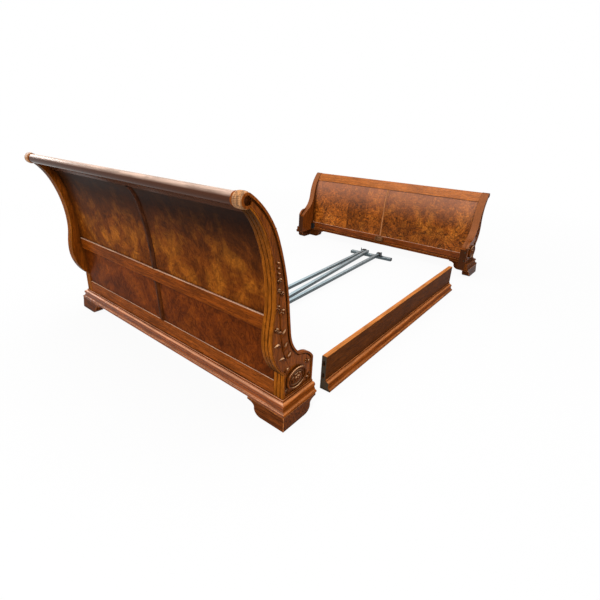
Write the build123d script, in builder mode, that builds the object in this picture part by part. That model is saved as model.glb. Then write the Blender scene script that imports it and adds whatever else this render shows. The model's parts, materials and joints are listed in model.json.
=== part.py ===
"""Sleigh bed, knocked down and set out in order: headboard, footboard, side rails and steel centre support.

Millimetres. X runs across the bed, Y along it with the headboard at +Y, Z up from the floor.
"""
import os
from dataclasses import dataclass
from math import cos, radians, sin, sqrt

from build123d import *

os.makedirs("parts", exist_ok=True)

# Overall sizes
end_width = 1728.0          # outer end face to outer end face of a board
post_width = 54.0
base_height = 72.0          # floor to the underside of a board
head_height = 1038.0
foot_height = 668.0

# How the pieces stand apart
head_gap = 119.0            # right rail to headboard
left_head_gap = 46.0        # left rail to headboard
foot_gap = 330.0            # right rail to footboard

# Block at the bottom of each post
block_depth = 209.0
block_back_up = 255.0
nose_up = 256.0             # where the block's bed-side face ends
nose_crown = (38.0, 297.0)
nose_thickness = 18.0       # the nose stands on the outer part of the block only
nose_back_up = 240.0        # top of the block behind the nose

# Headboard post, as (outwards from the block's bed-side face, up)
head_notch = (99.0, 319.0)
head_throat = (170.0, 440.0)
head_neck = (186.0, 0.546 * head_height)
head_curl = (256.0, head_height - 188.0)  # where the bed-side edge starts to roll over
head_curl_lean = 21.0       # degrees from upright there
head_belly = (293.0, 440.0)
head_waist = (275.0, 0.59 * head_height)
head_back_curl = (331.0, head_height - 162.0)
head_roll_out = 418.0
head_roll_radius = 26.0

# Footboard post
foot_notch = (90.0, 306.0)
foot_throat = (176.0, foot_height - 243.0)
foot_neck = (184.0, foot_height - 201.0)
foot_curl = (228.0, foot_height - 82.0)
foot_curl_lean = 30.4
foot_belly = (254.0, 362.0)
foot_waist = (240.0, foot_height - 188.0)
foot_back_curl = (256.0, foot_height - 108.0)
foot_roll_out = 302.0
foot_roll_radius = 20.0

# Carved end faces
head_border = 9.0
foot_border = 7.0
field_depth = 5.0
groove_width = 7.0          # along the bed-side border, deeper than the field
groove_depth = 11.0
scroll_hollow_depth = 18.0
reed_base = 4.0
reed_height = 4.5
reed_count = 3
reed_gap = 1.6
reed_margin = 4.0           # reeding to the sunk field
collar_inset = 2.0          # collar to the post's end face
collar_length = 28.0
collar_rise = 3.5
collar_lap = 8.0            # past the top and bottom of the scroll
medallion_out = 122.0
medallion_up = 205.0
medallion_width = 134.0
medallion_height = 102.0
medallion_thickness = 11.0
medallion_rim = 9.0
medallion_dish = 4.0

# Frame and panels between the posts: the bed-side face of the frame, then depths behind it
frame_out = 183.0           # block faces to the upright bottom rails
head_panel_neck = (207.0, 0.546 * head_height)
head_panel_curl = (259.0, head_height - 175.0)
foot_panel_neck = (200.0, foot_height - 228.0)
foot_panel_curl = (224.0, foot_height - 113.0)
frame_thickness = 24.0
panel_front = 5.0
panel_back = 19.0
stile_width = 44.0
stile_front = 3.0
stile_shoulder = 20.0       # where the stile's rounded face starts
stile_back = 28.0
mid_rail_thickness = 30.0
roll_inset = 2.0            # crest roll smaller than the posts' scrolls
head_crest_low = head_height - 95.0
foot_crest_low = foot_height - 70.0
mid_rail_low = 440.0
mid_rail_high = 512.0
head_bottom_rail_high = 205.0
foot_bottom_rail_high = 154.0
plinth_thickness = 9.0
plinth_height = 26.0

# Base moulding, from the bottom up
mould_projection = 32.0
bead_height = 13.0
bead_step = 4.0
scotia_height = 17.0
scotia_foot = 26.0          # projection at the bottom and top of the scotia
scotia_head = 18.0
torus_height = 21.0
torus_swell = 21.5
torus_head = 9.0
cap_height = 9.0
cap_projection = 5.0

# Bracket feet
foot_projection = 35.0      # at the floor
foot_shoulder = 31.0        # under the moulding
foot_wall = 24.0            # how far the foot runs in under the block
back_wing_low = 132.0       # wing lengths at the floor, from the foot's outer corner
end_wing_low = 152.0
ogee_run = 43.0             # each half of the ogee edge
ogee_middle = 38.0
ogee_top = 60.0

# Side rails
rail_length = 1702.0
rail_thickness = 28.0
rail_height = 190.0
rail_edge_radius = 4.0
ledger_width = 24.0
ledger_height = 32.0
ledger_up = 58.0
ledger_end_gap = 40.0

# Rail bolts in the block faces, and slotted plates let into the rail ends
bolt_head_radius = 5.5
bolt_head_height = 5.0
bolt_shank_radius = 4.0
bolt_shank_length = 34.0
bolt_hole_clearance = 0.3
bolt_pitch = 70.0
bolt_rail_up = 112.0        # middle of the bolts above the rail's lower edge
plate_width = 20.0
plate_height = 128.0
plate_thickness = 4.0
slot_length = 32.0          # the slots pass over the bolt heads
slot_clearance = 0.8
pocket_depth = 10.0         # hollow in the rail for the bolt heads

# Steel fittings on the boards
angle_leg = 28.0
angle_thickness = 3.0
angle_height = 62.0
angle_up = 78.0
socket_width = 72.0
socket_height = 34.0
socket_depth = 30.0
socket_wall = 4.0
socket_up = 112.0

# Steel centre support, lying a little askew on the floor
support_shift = -34.0       # middle of the support from the middle of the bed
support_start = 0.0         # far ends of the long tubes from the footboard's block faces
support_turn = 1.4          # degrees
cross_turn = 3.0            # cross tubes, further than the long tubes
tube_size = 26.0
tube_wall = 2.0
tube_corner = 3.0
tube_length = 1800.0
tube_spacing = 154.0
brace_gap = 4.0             # brace to long tube where it comes nearest
cross_length = 396.0
cross_width = 38.0
cross_height = 26.0
cross_inset = 32.0          # ends of the long tubes to the middle of a cross tube
cap_thickness = 4.0
cap_plug = 14.0
cap_clearance = 0.2
clip_length = 34.0
clip_thickness = 3.0
clip_clearance = 0.3
clip_flange = 22.0
stud_radius = 4.0
stud_length = 44.0
stud_clearance = 0.3
nut_radius = 7.5
nut_height = 7.0

# Derived positions
half_width = end_width / 2
inner_half = half_width - post_width
mould_height = bead_height + scotia_height + torus_height + cap_height
head_reach = head_roll_out + head_roll_radius + collar_rise
foot_reach = foot_roll_out + foot_roll_radius
total_length = head_reach + head_gap + rail_length + foot_gap + foot_reach
head_face = total_length / 2 - head_reach
foot_face = foot_reach - total_length / 2
bolt_across = half_width - rail_thickness / 2
bolt_up = base_height + bolt_rail_up
slot_width = 2 * (bolt_head_radius + slot_clearance)
back_wing_high = back_wing_low + 2 * ogee_run
end_wing_high = end_wing_low + 2 * ogee_run


@dataclass
class Board:
    """One end of the bed. Its frame stands on the floor below the block faces, with y pointing outwards."""

    name: str
    frame: Plane
    turn: int               # +1 where the frame's x is world X, -1 where it is reversed
    notch: tuple
    throat: tuple
    neck: tuple
    curl: tuple
    curl_lean: float
    panel_neck: tuple
    panel_curl: tuple
    belly: tuple
    waist: tuple
    back_curl: tuple
    roll: tuple
    roll_radius: float
    border: float
    crest_low: float
    bottom_rail_high: float


headboard = Board(
    "headboard", Plane((0, head_face, 0)), 1, head_notch, head_throat, head_neck, head_curl,
    head_curl_lean, head_panel_neck, head_panel_curl, head_belly, head_waist, head_back_curl,
    (head_roll_out, head_height - head_roll_radius), head_roll_radius, head_border, head_crest_low,
    head_bottom_rail_high)
footboard = Board(
    "footboard", Plane((0, foot_face, 0), x_dir=(-1, 0, 0), z_dir=(0, 0, 1)), -1, foot_notch, foot_throat,
    foot_neck, foot_curl, foot_curl_lean, foot_panel_neck, foot_panel_curl, foot_belly, foot_waist, foot_back_curl,
    (foot_roll_out, foot_height - foot_roll_radius), foot_roll_radius, foot_border, foot_crest_low,
    foot_bottom_rail_high)
boards = (headboard, footboard)
sides = (("right", -1), ("left", 1))


def end_plane(board, across):
    """Upright plane across the board's width: sketch x runs outwards, sketch y runs up."""
    frame = board.frame
    return Plane(frame.from_local_coords((across, 0, 0)), x_dir=frame.y_dir, z_dir=frame.x_dir)


def face_plane(board, outwards):
    """Upright plane along the board: sketch x runs across against the frame, sketch y up, normal outwards."""
    frame = board.frame
    return Plane(frame.from_local_coords((0, outwards, 0)), x_dir=-frame.x_dir, z_dir=frame.y_dir)


def floor_plane(board, up):
    """Level plane over the board's frame."""
    frame = board.frame
    return Plane(frame.from_local_coords((0, 0, up)), x_dir=frame.x_dir, z_dir=frame.z_dir)


def save(piece, name):
    """Label a finished piece and write its file."""
    piece.part.label = name
    export_step(piece.part, f"parts/{name}.step")


def curl_tangent(board):
    """Direction of the bed-side edge at the curl, upwards and outwards."""
    lean = radians(board.curl_lean)
    return Vector(sin(lean), cos(lean))


def touch_point(start, tangent, centre, radius):
    """Where an arc leaving the start along the tangent runs smoothly into a circle lying on its right."""
    normal = Vector(tangent.Y, -tangent.X)
    reach = Vector(*centre) - Vector(*start)
    arc_radius = (reach.dot(reach) - radius**2) / (2 * (reach.dot(normal) - radius))
    arc_centre = Vector(*start) + normal * arc_radius
    return arc_centre + (Vector(*centre) - arc_centre).normalized() * arc_radius


def under_roll(board):
    """Where the outer edge of a post meets the underside of its scroll."""
    lean = 0.25 * board.roll_radius
    return (board.roll[0] - lean, board.roll[1] - sqrt(board.roll_radius**2 - lean**2))


def outer_edge(board):
    """Lines of a post's outer edge, from under the scroll to the bottom of the block."""
    middle = ((board.belly[0] + board.waist[0]) / 2, (board.belly[1] + board.waist[1]) / 2)
    block_back = (block_depth, block_back_up)
    with BuildLine() as edge:
        rise = TangentArc(board.waist, board.back_curl, tangent=(0, 1))
        TangentArc(board.back_curl, under_roll(board), tangent=rise % 1)
        TangentArc(board.waist, middle, tangent=(0, -1))
        TangentArc(board.belly, middle, tangent=(0, 1))
        TangentArc(board.belly, block_back, tangent=(0, -1))
        Line(block_back, (block_depth, base_height))
    return edge.line


def scroll_start(board):
    """Where the bed-side edge of a post runs into its scroll."""
    return touch_point(board.curl, curl_tangent(board), board.roll, board.roll_radius)


def inner_edge(board):
    """Lines of a post's bed-side edge, from the nose to the scroll."""
    with BuildLine() as edge:
        ThreePointArc((0, nose_up), nose_crown, board.notch)
        upper_sweep = TangentArc(board.curl, board.neck, tangent=-curl_tangent(board))
        lower_sweep = TangentArc(board.neck, board.throat, tangent=upper_sweep % 1)
        TangentArc(board.throat, board.notch, tangent=lower_sweep % 1)
        TangentArc(board.curl, scroll_start(board), tangent=curl_tangent(board))
    return edge.line


def scroll_edge(board):
    """The scroll's round edge, from the bed-side edge over to the outer edge."""
    with BuildLine() as edge:
        far_side = (board.roll[0] + board.roll_radius, board.roll[1])
        ThreePointArc(scroll_start(board), far_side, under_roll(board))
    return edge.line


def post_outline(board):
    """Side view of a post: block, nose, S-shaped edges and scroll."""
    with BuildSketch() as outline:
        with BuildLine():
            Line((block_depth, base_height), (0, base_height))
            Line((0, base_height), (0, nose_up))
            add(inner_edge(board))
            add(scroll_edge(board))
            add(outer_edge(board))
        make_face()
    return outline.sketch


def nose_hollow(board):
    """Side view of the space behind the nose, down to a curve from the notch to the bed-side face."""
    with BuildSketch() as hollow:
        with BuildLine():
            TangentArc((0, nose_back_up), board.notch, tangent=(1, 1))
            Line(board.notch, (board.notch[0], board.notch[1] + nose_thickness))
            Line((board.notch[0], board.notch[1] + nose_thickness), (0, board.notch[1] + nose_thickness))
            Line((0, board.notch[1] + nose_thickness), (0, nose_back_up))
        make_face()
    return hollow.sketch


def edge_strip(board, thickness):
    """Side view of the strip of a post just inside its outer edge."""
    with BuildSketch() as strip:
        trace(outer_edge(board).edges(), line_width=2 * thickness)
        with Locations((block_depth, block_back_up)):
            Circle(thickness)
        add(post_outline(board), mode=Mode.INTERSECT)
    return strip.sketch


def body_outline(board):
    """Side view of a post without the reeding let into its outer edge."""
    with BuildSketch() as outline:
        add(post_outline(board))
        add(edge_strip(board, reed_base + reed_height), mode=Mode.SUBTRACT)
    return outline.sketch


def field_outline(board):
    """Side view of the sunk field of a post's end face, inside its border and its reeding."""
    border = board.border
    with BuildSketch() as field:
        add(post_outline(board))
        add(edge_strip(board, reed_base + reed_height + reed_margin), mode=Mode.SUBTRACT)
        trace(inner_edge(board).edges(), line_width=2 * border, mode=Mode.SUBTRACT)
        trace(scroll_edge(board).edges(), line_width=2 * border, mode=Mode.SUBTRACT)
        with Locations(board.notch, (0, nose_up), under_roll(board)):
            Circle(border, mode=Mode.SUBTRACT)
        with Locations((0, base_height)):
            Rectangle(2 * border, 2 * (nose_up - base_height), mode=Mode.SUBTRACT)
        with Locations((block_depth / 2, base_height)):
            Rectangle(2 * block_depth, 2 * (mould_height + border), mode=Mode.SUBTRACT)
    return field.sketch


def groove_outline(board):
    """Side view of the deeper groove that follows the bed-side border of the field."""
    reach = board.border + groove_width
    with BuildSketch() as groove:
        trace(inner_edge(board).edges(), line_width=2 * reach)
        with Locations(board.notch):
            Circle(reach)
        add(field_outline(board), mode=Mode.INTERSECT)
    return groove.sketch


def hollow_outline(board):
    """Side view of the hollow in a scroll's end, where the field runs up into it."""
    with BuildSketch() as hollow:
        with Locations(board.roll):
            Circle(board.roll_radius)
        add(field_outline(board), mode=Mode.INTERSECT)
    return hollow.sketch


def frame_face(board):
    """Lines of the frame's bed-side face, from the bottom rail's top to the top of the crest roll."""
    with BuildLine() as face:
        lean = Line((frame_out, board.bottom_rail_high), board.panel_neck)
        rise = TangentArc(board.panel_neck, board.panel_curl, tangent=lean % 1)
        roll_start = touch_point(board.panel_curl, rise % 1, board.roll, board.roll_radius - roll_inset)
        TangentArc(board.panel_curl, roll_start, tangent=rise % 1)
    return face.line


def behind_face(board, depth):
    """Side view of the space from the frame's bed-side face back to a depth behind it."""
    with BuildSketch() as strip:
        with BuildLine():
            add(frame_face(board))
            offset(amount=depth, side=Side.RIGHT, kind=Kind.INTERSECTION, closed=True)
        make_face()
    return strip.sketch


def band(board, front, back, low, high):
    """Side view of a curved board between two depths behind the frame's face and between two heights."""
    with BuildSketch() as strip:
        add(behind_face(board, back))
        if front > 0:
            add(behind_face(board, front), mode=Mode.SUBTRACT)
        with Locations((board.roll[0], (low + high) / 2)):
            Rectangle(4 * block_depth, high - low, mode=Mode.INTERSECT)
    return strip.sketch


def crest_outline(board):
    """Side view of the crest: a curved band ending in a roll."""
    with BuildSketch() as outline:
        add(band(board, 0, frame_thickness, board.crest_low, board.roll[1] + board.roll_radius))
        with Locations(board.roll):
            Circle(board.roll_radius - roll_inset)
    return outline.sketch


def moulding_outline():
    """Section of the base moulding: sketch x is the projection, sketch y runs up from its underside."""
    bead_out = mould_projection - bead_step
    torus_up = bead_height + scotia_height
    cap_up = torus_up + torus_height
    with BuildSketch() as outline:
        with BuildLine():
            Line((0, 0), (bead_out, 0))
            ThreePointArc((bead_out, 0), (mould_projection, bead_height / 2), (bead_out, bead_height))
            Line((bead_out, bead_height), (scotia_foot, bead_height))
            TangentArc((scotia_head, torus_up), (scotia_foot, bead_height), tangent=(0, -1))
            ThreePointArc((scotia_head, torus_up), (torus_swell, torus_up + torus_height / 3), (torus_head, cap_up))
            Line((torus_head, cap_up), (cap_projection, cap_up))
            Line((cap_projection, cap_up), (cap_projection, mould_height))
            Line((cap_projection, mould_height), (0, mould_height))
            Line((0, mould_height), (0, 0))
        make_face()
    return outline.sketch


def foot_outline(depth):
    """Section of a bracket foot: flared from the shoulder to the floor, running in by the given depth."""
    middle = ((foot_shoulder + foot_projection) / 2, base_height / 2)
    with BuildSketch() as outline:
        with BuildLine():
            Line((-depth, 0), (foot_projection, 0))
            TangentArc((foot_projection, 0), middle, tangent=(0, 1))
            TangentArc((foot_shoulder, base_height), middle, tangent=(0, -1))
            Line((foot_shoulder, base_height), (-depth, base_height))
            Line((-depth, base_height), (-depth, 0))
        make_face()
    return outline.sketch


def wing_cutout(low):
    """Hollow past the ogee edge of a foot's wing: sketch x is negative from the block's corner inwards."""
    start = foot_projection - low
    middle = start - ogee_run
    end = middle - ogee_run
    with BuildSketch() as outline:
        with BuildLine():
            EllipticalCenterArc((start, ogee_middle), ogee_run, ogee_middle, 180, arc_size=90)
            EllipticalCenterArc((end, ogee_middle), ogee_run, ogee_top - ogee_middle, 0, arc_size=90)
            Line((end, ogee_top), (end, 0))
            Line((end, 0), (start, 0))
        make_face()
    return outline.sketch


def mitre_plane(board, hand):
    """Upright mitre through a block's outer back corner, its normal pointing to the back moulding's side."""
    frame = board.frame
    corner = frame.from_local_coords((hand * half_width, block_depth, 0))
    return Plane(corner, x_dir=(0, 0, 1), z_dir=frame.y_dir - frame.x_dir * hand)


def build_posts(board):
    """Posts, reeding and medallions on both sides."""
    reed_thickness = reed_base + reed_height
    reed_width = (post_width - (reed_count - 1) * reed_gap) / reed_count
    with BuildPart() as medallions:
        for side, world_hand in sides:
            hand = world_hand * board.turn
            plaque_plane = end_plane(board, hand * (half_width - field_depth))
            with BuildSketch(plaque_plane):
                with Locations((medallion_out, medallion_up)):
                    Ellipse(medallion_width / 2, medallion_height / 2)
            extrude(amount=hand * medallion_thickness)
            with BuildSketch(plaque_plane.offset(hand * medallion_thickness)):
                with Locations((medallion_out, medallion_up)):
                    Ellipse(medallion_width / 2 - medallion_rim, medallion_height / 2 - medallion_rim)
            extrude(amount=-hand * medallion_dish, mode=Mode.SUBTRACT)
    save(medallions, f"{board.name}_medallions")

    for side, world_hand in sides:
        hand = world_hand * board.turn
        outer_plane = end_plane(board, hand * half_width)
        with BuildPart() as post:
            with BuildSketch(outer_plane):
                add(body_outline(board))
            extrude(amount=-hand * post_width)
            with BuildSketch(outer_plane):
                add(field_outline(board))
            extrude(amount=-hand * field_depth, mode=Mode.SUBTRACT)
            with BuildSketch(outer_plane):
                add(groove_outline(board))
            extrude(amount=-hand * groove_depth, mode=Mode.SUBTRACT)
            with BuildSketch(outer_plane):
                add(hollow_outline(board))
            extrude(amount=-hand * scroll_hollow_depth, mode=Mode.SUBTRACT)
            with BuildSketch(outer_plane.offset(-hand * nose_thickness)):
                add(nose_hollow(board))
            extrude(amount=-hand * post_width, mode=Mode.SUBTRACT)
            with BuildSketch(face_plane(board, 0)):
                with Locations((-hand * bolt_across, bolt_up)):
                    with GridLocations(0, bolt_pitch, 1, 2):
                        Circle(bolt_shank_radius + bolt_hole_clearance)
            extrude(amount=bolt_shank_length + bolt_shank_radius, mode=Mode.SUBTRACT)
        save(post, f"{board.name}_{side}_post")

        with BuildPart() as reeding:
            with BuildSketch(outer_plane):
                add(edge_strip(board, reed_thickness))
                add(edge_strip(board, reed_height), mode=Mode.SUBTRACT)
            extrude(amount=-hand * post_width)
            for count in range(reed_count):
                with BuildSketch(outer_plane.offset(-hand * count * (reed_width + reed_gap))):
                    add(edge_strip(board, reed_thickness))
                extrude(amount=-hand * reed_width)
        save(reeding, f"{board.name}_{side}_reeding")


def build_between(board, outline, name, low, high):
    """A board of the given side view, running across between two distances from the middle."""
    with BuildPart() as piece:
        with BuildSketch(end_plane(board, low)):
            add(outline)
        extrude(amount=high - low)
    save(piece, name)


def build_stile(board, name, low, high):
    """Centre stile: a section with a rounded outer face, swept up the frame's curve and cut level at both ends."""
    half = stile_width / 2
    path = (end_plane(board, 0) * frame_face(board)).wires()[0]
    with BuildPart() as stile:
        with BuildSketch(Plane(path @ 0, x_dir=board.frame.x_dir, z_dir=path % 0)):
            with BuildLine():
                Line((-half, stile_front), (half, stile_front))
                Line((half, stile_front), (half, stile_shoulder))
                ThreePointArc((half, stile_shoulder), (0, stile_back), (-half, stile_shoulder))
                Line((-half, stile_shoulder), (-half, stile_front))
            make_face()
        sweep(path=path)
        split(bisect_by=floor_plane(board, low), keep=Keep.TOP)
        split(bisect_by=floor_plane(board, high), keep=Keep.BOTTOM)
    save(stile, name)


def build_frame(board):
    """Crest, rails, stiles, panels and plinth board between the posts."""
    half_stile = stile_width / 2
    build_between(board, crest_outline(board), f"{board.name}_crest", -inner_half, inner_half)
    with BuildPart() as bottom_rail:
        with BuildSketch(end_plane(board, -inner_half)):
            with Locations((frame_out, base_height)):
                Rectangle(frame_thickness, board.bottom_rail_high - base_height, align=(Align.MIN, Align.MIN))
        extrude(amount=2 * inner_half)
    save(bottom_rail, f"{board.name}_bottom_rail")
    if board is headboard:
        middle = band(board, 0, mid_rail_thickness, mid_rail_low, mid_rail_high)
        build_between(board, middle, f"{board.name}_middle_rail", -inner_half, inner_half)
        tiers = (("upper_", mid_rail_high, board.crest_low), ("lower_", board.bottom_rail_high, mid_rail_low))
    else:
        tiers = (("", board.bottom_rail_high, board.crest_low),)
    for tier, low, high in tiers:
        build_stile(board, f"{board.name}_{tier}stile", low, high)
        panel = band(board, panel_front, panel_back, low, high)
        for side, world_hand in sides:
            hand = world_hand * board.turn
            near, far = sorted((hand * half_stile, hand * inner_half))
            build_between(board, panel, f"{board.name}_{tier}{side}_panel", near, far)

    plinth_half = inner_half - angle_leg
    with BuildPart() as plinth:
        with BuildSketch(end_plane(board, -plinth_half)):
            with Locations((frame_out, base_height)):
                Rectangle(plinth_thickness, plinth_height, align=(Align.MAX, Align.MIN))
        extrude(amount=2 * plinth_half)
    save(plinth, f"{board.name}_plinth_board")


def build_collars(board):
    """Bands round the outer half of each post's scroll."""
    radius = board.roll_radius
    with BuildPart() as collars:
        for side, hand in sides:
            with BuildSketch(end_plane(board, hand * (half_width - collar_inset))):
                with Locations(board.roll):
                    Circle(radius + collar_rise)
                with Locations((board.roll[0] - collar_lap, board.roll[1])):
                    Rectangle(4 * radius, 4 * radius, align=(Align.MIN, Align.CENTER), mode=Mode.INTERSECT)
                add(post_outline(board), mode=Mode.SUBTRACT)
            extrude(amount=-hand * collar_length)
    save(collars, f"{board.name}_collars")


def build_base(board):
    """Base moulding in three mitred lengths, and the two bracket feet."""
    frame = board.frame
    reach = half_width + mould_projection
    with BuildPart() as back_moulding:
        with BuildSketch(Plane(
                frame.from_local_coords((-reach, block_depth, base_height)), x_dir=frame.y_dir, z_dir=frame.x_dir)):
            add(moulding_outline())
        extrude(amount=2 * reach)
        for side, hand in sides:
            split(bisect_by=mitre_plane(board, hand), keep=Keep.TOP)
    save(back_moulding, f"{board.name}_back_moulding")

    for side, world_hand in sides:
        hand = world_hand * board.turn
        across = frame.x_dir * hand
        with BuildPart() as end_moulding:
            start = frame.from_local_coords((hand * half_width, 0, base_height))
            with BuildSketch(Plane(start, x_dir=across, z_dir=across.cross(Vector(0, 0, 1)))):
                add(moulding_outline())
            extrude(amount=-hand * (block_depth + mould_projection))
            split(bisect_by=mitre_plane(board, hand), keep=Keep.BOTTOM)
        save(end_moulding, f"{board.name}_{side}_moulding")

        with BuildPart() as foot:
            corner = frame.from_local_coords((hand * half_width, block_depth, 0))
            back_section = Plane(corner, x_dir=frame.y_dir, z_dir=frame.x_dir)
            end_section = Plane(corner, x_dir=across, z_dir=across.cross(Vector(0, 0, 1)))
            with BuildSketch(back_section.offset(hand * foot_projection)):
                add(foot_outline(end_wing_high - foot_projection))
            extrude(amount=-hand * back_wing_high)
            with BuildSketch(end_section.offset(-hand * foot_projection)):
                add(foot_outline(back_wing_high - foot_projection))
            extrude(amount=hand * end_wing_high, mode=Mode.INTERSECT)
            with BuildSketch(Plane(corner, x_dir=across, z_dir=(0, 0, 1))):
                with Locations((-foot_wall, -hand * foot_wall)):
                    Rectangle(
                        2 * back_wing_high, 2 * end_wing_high,
                        align=(Align.MAX, Align.MAX if hand > 0 else Align.MIN))
            extrude(amount=base_height, mode=Mode.SUBTRACT)
            with BuildSketch(back_section.offset(-hand * foot_wall)):
                add(wing_cutout(end_wing_low))
            extrude(amount=2 * hand * foot_wall + 2 * hand * foot_projection, mode=Mode.SUBTRACT)
            with BuildSketch(end_section.offset(hand * foot_wall)):
                add(wing_cutout(back_wing_low))
            extrude(amount=-2 * hand * foot_wall - 2 * hand * foot_projection, mode=Mode.SUBTRACT)
        save(foot, f"{board.name}_{side}_bracket_foot")


def build_fittings(board):
    """Rail bolts, inside corner brackets and the socket for the centre support."""
    with BuildPart() as bolts:
        for side, hand in sides:
            with BuildSketch(face_plane(board, 0)):
                with Locations((hand * bolt_across, bolt_up)):
                    with GridLocations(0, bolt_pitch, 1, 2):
                        RegularPolygon(bolt_head_radius, 6)
            extrude(amount=-bolt_head_height)
            with BuildSketch(face_plane(board, 0)):
                with Locations((hand * bolt_across, bolt_up)):
                    with GridLocations(0, bolt_pitch, 1, 2):
                        Circle(bolt_shank_radius)
            extrude(amount=bolt_shank_length)
    save(bolts, f"{board.name}_rail_bolts")

    with BuildPart() as angles:
        for side, hand in sides:
            with BuildSketch(floor_plane(board, angle_up)):
                with BuildLine():
                    wall = hand * inner_half
                    Polyline(
                        (wall, frame_out), (wall, frame_out - angle_leg),
                        (wall - hand * angle_thickness, frame_out - angle_leg),
                        (wall - hand * angle_thickness, frame_out - angle_thickness),
                        (wall - hand * angle_leg, frame_out - angle_thickness),
                        (wall - hand * angle_leg, frame_out), close=True)
                make_face()
            extrude(amount=angle_height)
    save(angles, f"{board.name}_corner_brackets")

    with BuildPart() as socket:
        with BuildSketch(face_plane(board, frame_out)):
            with Locations((0, socket_up)):
                Rectangle(socket_width, socket_height, align=(Align.CENTER, Align.MIN))
        extrude(amount=-socket_depth)
        with BuildSketch(face_plane(board, frame_out - socket_wall)):
            with Locations((0, socket_up + socket_wall)):
                Rectangle(socket_width - 2 * socket_wall, socket_height, align=(Align.CENTER, Align.MIN))
        extrude(amount=-socket_depth, mode=Mode.SUBTRACT)
    save(socket, f"{board.name}_support_socket")


for board in boards:
    build_posts(board)
    build_frame(board)
    build_base(board)
    build_fittings(board)
build_collars(headboard)


def build_rail(side, hand, gap):
    """One side rail lying on the floor, its outer face in line with the boards' end faces."""
    near = head_face - gap
    outer = hand * half_width
    end_section = Plane((outer, near, 0), x_dir=(hand, 0, 0), z_dir=(0, -hand, 0))
    inwards = hand * rail_length
    rail_ends = ((near, -1), (near - rail_length, 1))
    middle = outer - hand * rail_thickness / 2

    def end_face(end, turn):
        """Plane on a rail end, its normal pointing into the rail: sketch x across, sketch y up."""
        return Plane((middle, end, bolt_rail_up), x_dir=(-turn, 0, 0), z_dir=(0, turn, 0))

    with BuildPart() as rail:
        with BuildSketch(end_section):
            Rectangle(rail_thickness, rail_height, align=(Align.MAX, Align.MIN))
        extrude(amount=inwards)
        fillet(rail.faces().sort_by(Axis.Z)[-1].edges().filter_by(Axis.Y), rail_edge_radius)
        for end, turn in rail_ends:
            with BuildSketch(end_face(end, turn)):
                Rectangle(plate_width, plate_height)
            extrude(amount=plate_thickness, mode=Mode.SUBTRACT)
            with BuildSketch(end_face(end, turn)):
                with GridLocations(0, bolt_pitch, 1, 2):
                    SlotOverall(slot_length, slot_width, rotation=90)
            extrude(amount=pocket_depth, mode=Mode.SUBTRACT)
    save(rail, f"{side}_rail_board")

    with BuildPart() as plates:
        for end, turn in rail_ends:
            with BuildSketch(end_face(end, turn)):
                Rectangle(plate_width, plate_height)
                with GridLocations(0, bolt_pitch, 1, 2):
                    SlotOverall(slot_length, slot_width, rotation=90, mode=Mode.SUBTRACT)
            extrude(amount=plate_thickness)
    save(plates, f"{side}_rail_end_plates")

    with BuildPart() as moulding:
        with BuildSketch(end_section):
            add(moulding_outline())
        extrude(amount=inwards)
    save(moulding, f"{side}_rail_moulding")

    with BuildPart() as ledger:
        with BuildSketch(end_section.offset(hand * ledger_end_gap)):
            with Locations((-rail_thickness, ledger_up)):
                Rectangle(ledger_width, ledger_height, align=(Align.MAX, Align.MIN))
        extrude(amount=inwards - 2 * hand * ledger_end_gap)
    save(ledger, f"{side}_rail_ledger")


build_rail("right", -1, head_gap)
build_rail("left", 1, left_head_gap)


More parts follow.
